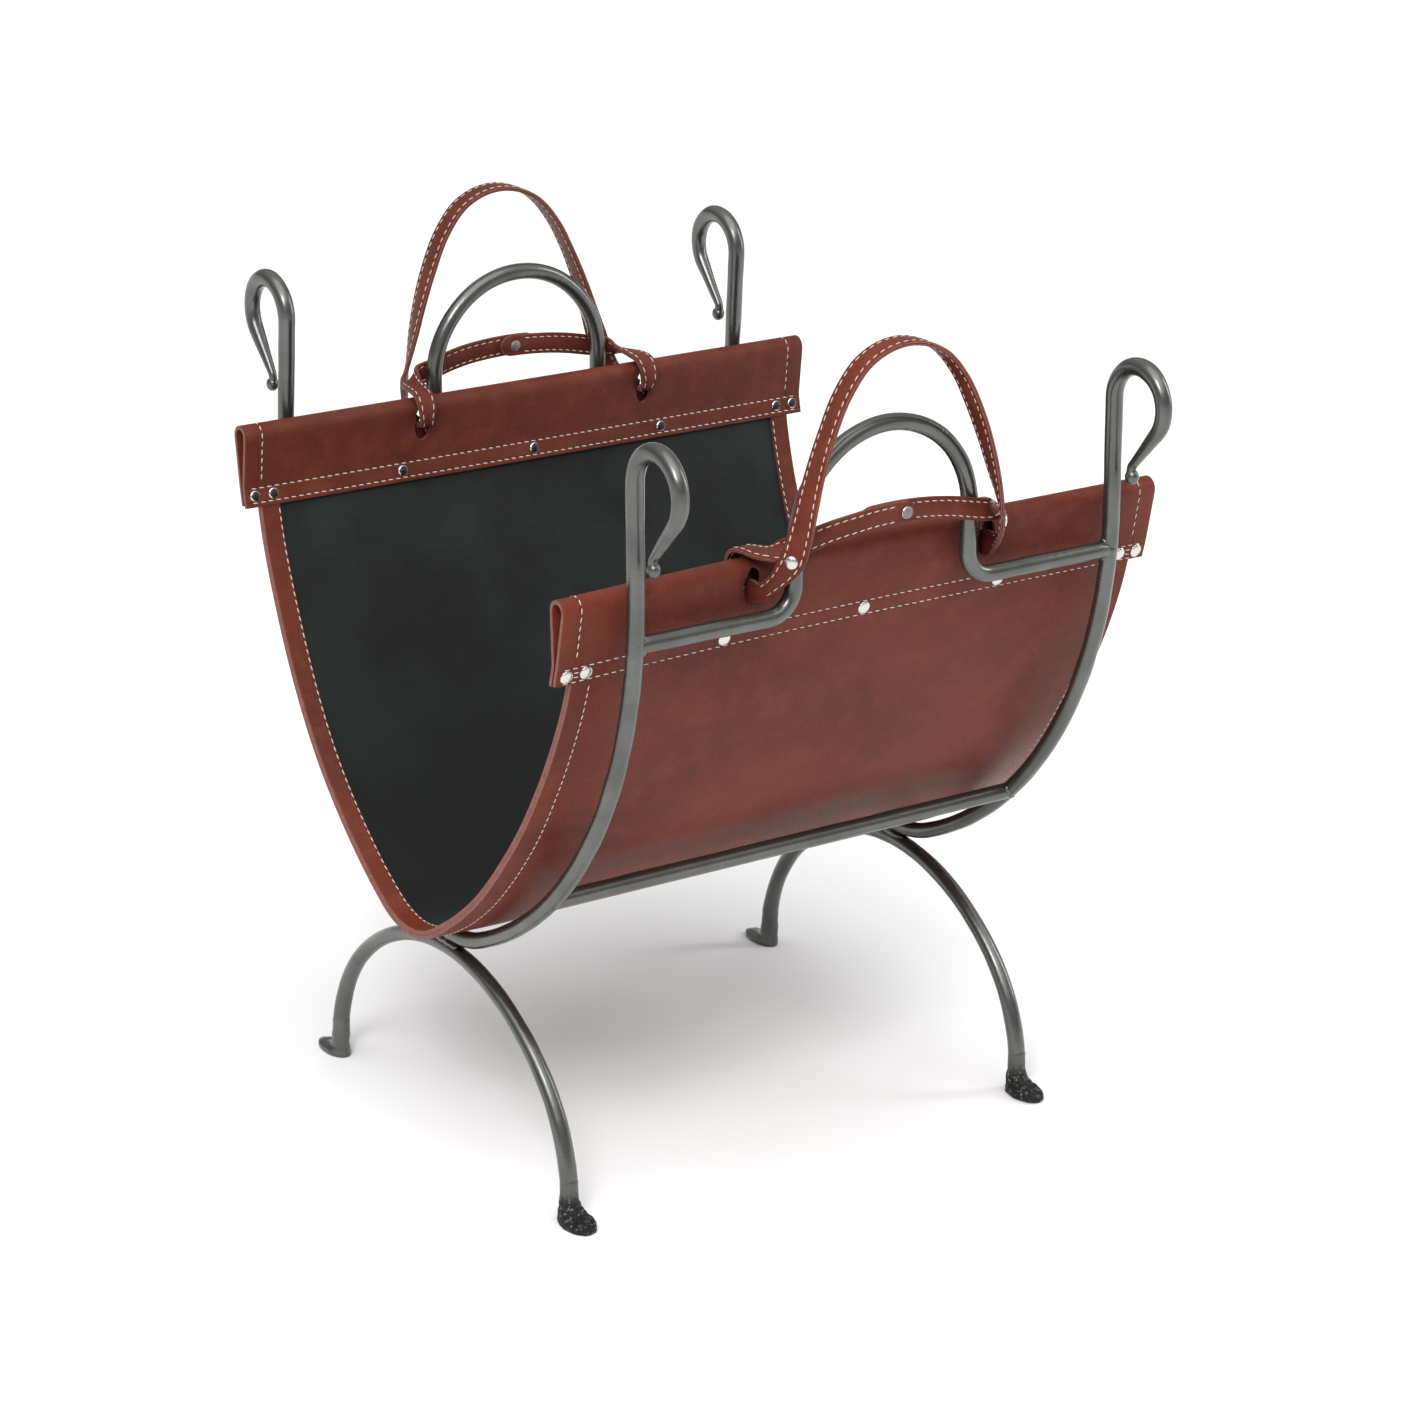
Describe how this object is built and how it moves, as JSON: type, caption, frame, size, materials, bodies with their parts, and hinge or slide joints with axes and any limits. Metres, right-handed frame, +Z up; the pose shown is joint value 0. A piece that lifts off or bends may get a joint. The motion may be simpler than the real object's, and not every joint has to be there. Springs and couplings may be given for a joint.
{
  "type": "magazine rack",
  "caption": "Magazine rack: a bent round-bar steel stand with curled hook tops and arched legs holds a lift-out leather sling carrier with strap hand loops.",
  "frame": {"origin": "on the floor under the middle of the stand", "axes": "+X along the rack from its left end to its right end, +Y from the front side to the back side, +Z up"},
  "size_m": [0.408, 0.4734, 0.521],
  "materials": {
    "forged_steel": "dark satin, lightly mottled",
    "leather": "smooth waxed, soft sheen",
    "lining": "matt napped",
    "nickel": "polished",
    "dark_cap": "satin"
  },
  "bodies": {
    "stand": {"left_hoop": "forged_steel", "right_hoop": "forged_steel", "left_front_crook": "forged_steel", "left_back_crook": "forged_steel", "right_front_crook": "forged_steel", "right_back_crook": "forged_steel", "front_handle_rail": "forged_steel", "back_handle_rail": "forged_steel", "front_lower_rail": "forged_steel", "back_lower_rail": "forged_steel", "left_leg_arch": "forged_steel", "right_leg_arch": "forged_steel", "left_front_foot": "forged_steel", "left_back_foot": "forged_steel", "right_front_foot": "forged_steel", "right_back_foot": "forged_steel", "top_rail_welds": "forged_steel", "lower_rail_welds": "forged_steel", "leg_welds": "forged_steel"},
    "carrier": {"sling_leather": "leather", "sling_lining": "lining", "left_edge_binding": "leather", "right_edge_binding": "leather", "front_hem": "leather", "back_hem": "leather", "front_hem_rivets": "nickel", "back_hem_rivets": "nickel", "front_hem_rivet_backs": "dark_cap", "back_hem_rivet_backs": "dark_cap", "front_low_strap": "leather", "back_low_strap": "leather", "front_strap_feet": "leather", "back_strap_feet": "leather", "front_strap_rivets": "nickel", "back_strap_rivets": "nickel"},
    "front_handle": {"front_strap_handle": "leather"},
    "back_handle": {"back_strap_handle": "leather"}
  },
  "joints": [
    {"name": "carrier_lift", "type": "slide", "parent": "stand", "child": "carrier", "axis": [0, 0, 1], "range_m": [0, 0.36]},
    {"name": "front_loop_fold", "type": "hinge", "parent": "carrier", "child": "front_handle", "pos_m": [0, -0.21, 0.403], "axis": [1, 0, 0], "range_deg": [0, 150], "stiffness_Nm_per_rad": 0.05},
    {"name": "back_loop_fold", "type": "hinge", "parent": "carrier", "child": "back_handle", "pos_m": [0, 0.21, 0.403], "axis": [-1, 0, 0], "range_deg": [0, 150], "stiffness_Nm_per_rad": 0.05}
  ]
}
